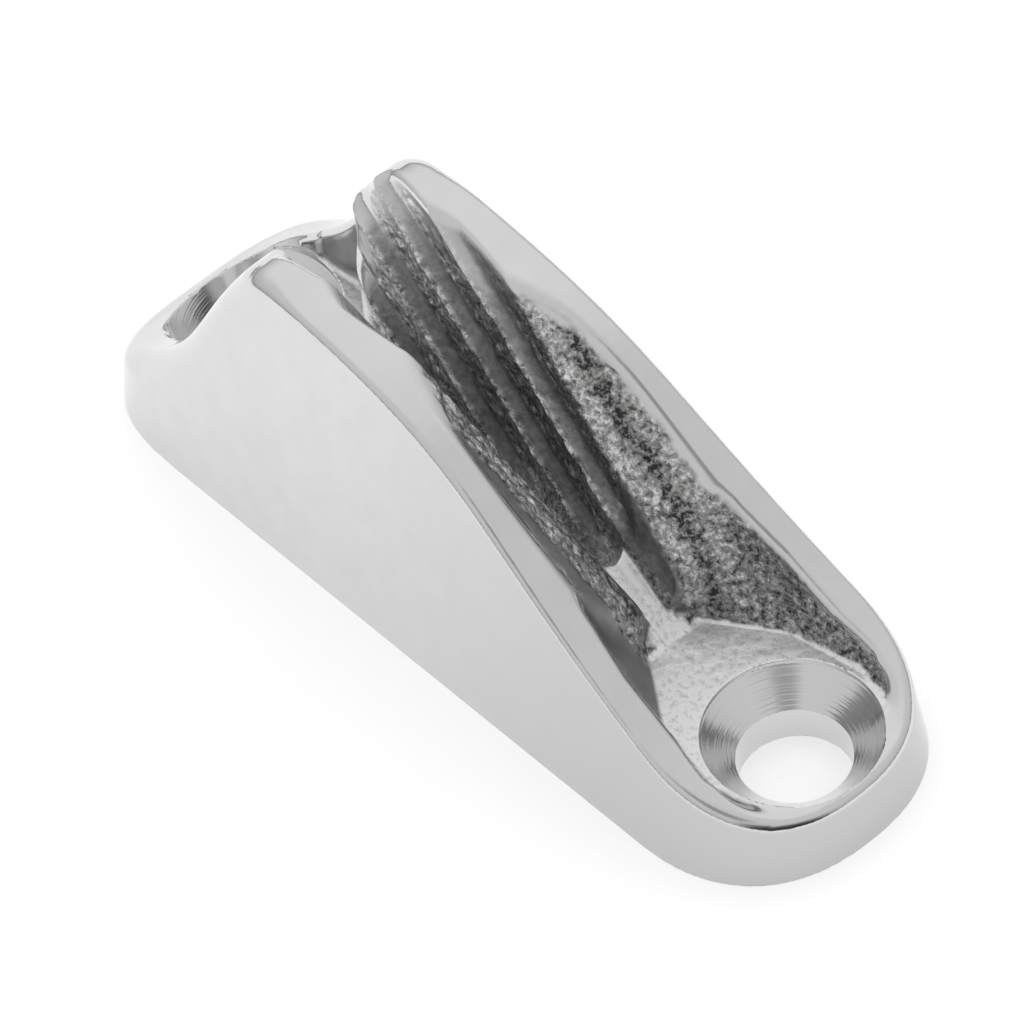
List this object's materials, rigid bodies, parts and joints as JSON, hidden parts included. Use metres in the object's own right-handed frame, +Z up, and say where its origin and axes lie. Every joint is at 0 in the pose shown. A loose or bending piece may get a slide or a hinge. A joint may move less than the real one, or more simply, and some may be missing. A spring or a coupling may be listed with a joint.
{
  "type": "v-groove rope cleat",
  "caption": "One-piece cast rope cleat: two toothed jaws form a V groove between low ends, each with a countersunk screw hole.",
  "frame": {"origin": "middle of the flat underside, at the height of the deck it is screwed to", "axes": "+X along the cleat towards the end with the long slope, the ramp and the wide mouth; +Y across it; +Z up, away from the deck"},
  "size_m": [0.0556, 0.0176, 0.0197],
  "materials": {
    "polished_steel": "mirror-polished stainless steel outside and on the lands, rough as-cast grain in the toothed groove, turned countersinks"
  },
  "bodies": {
    "root": {"cleat_body": "polished_steel"}
  },
  "joints": []
}
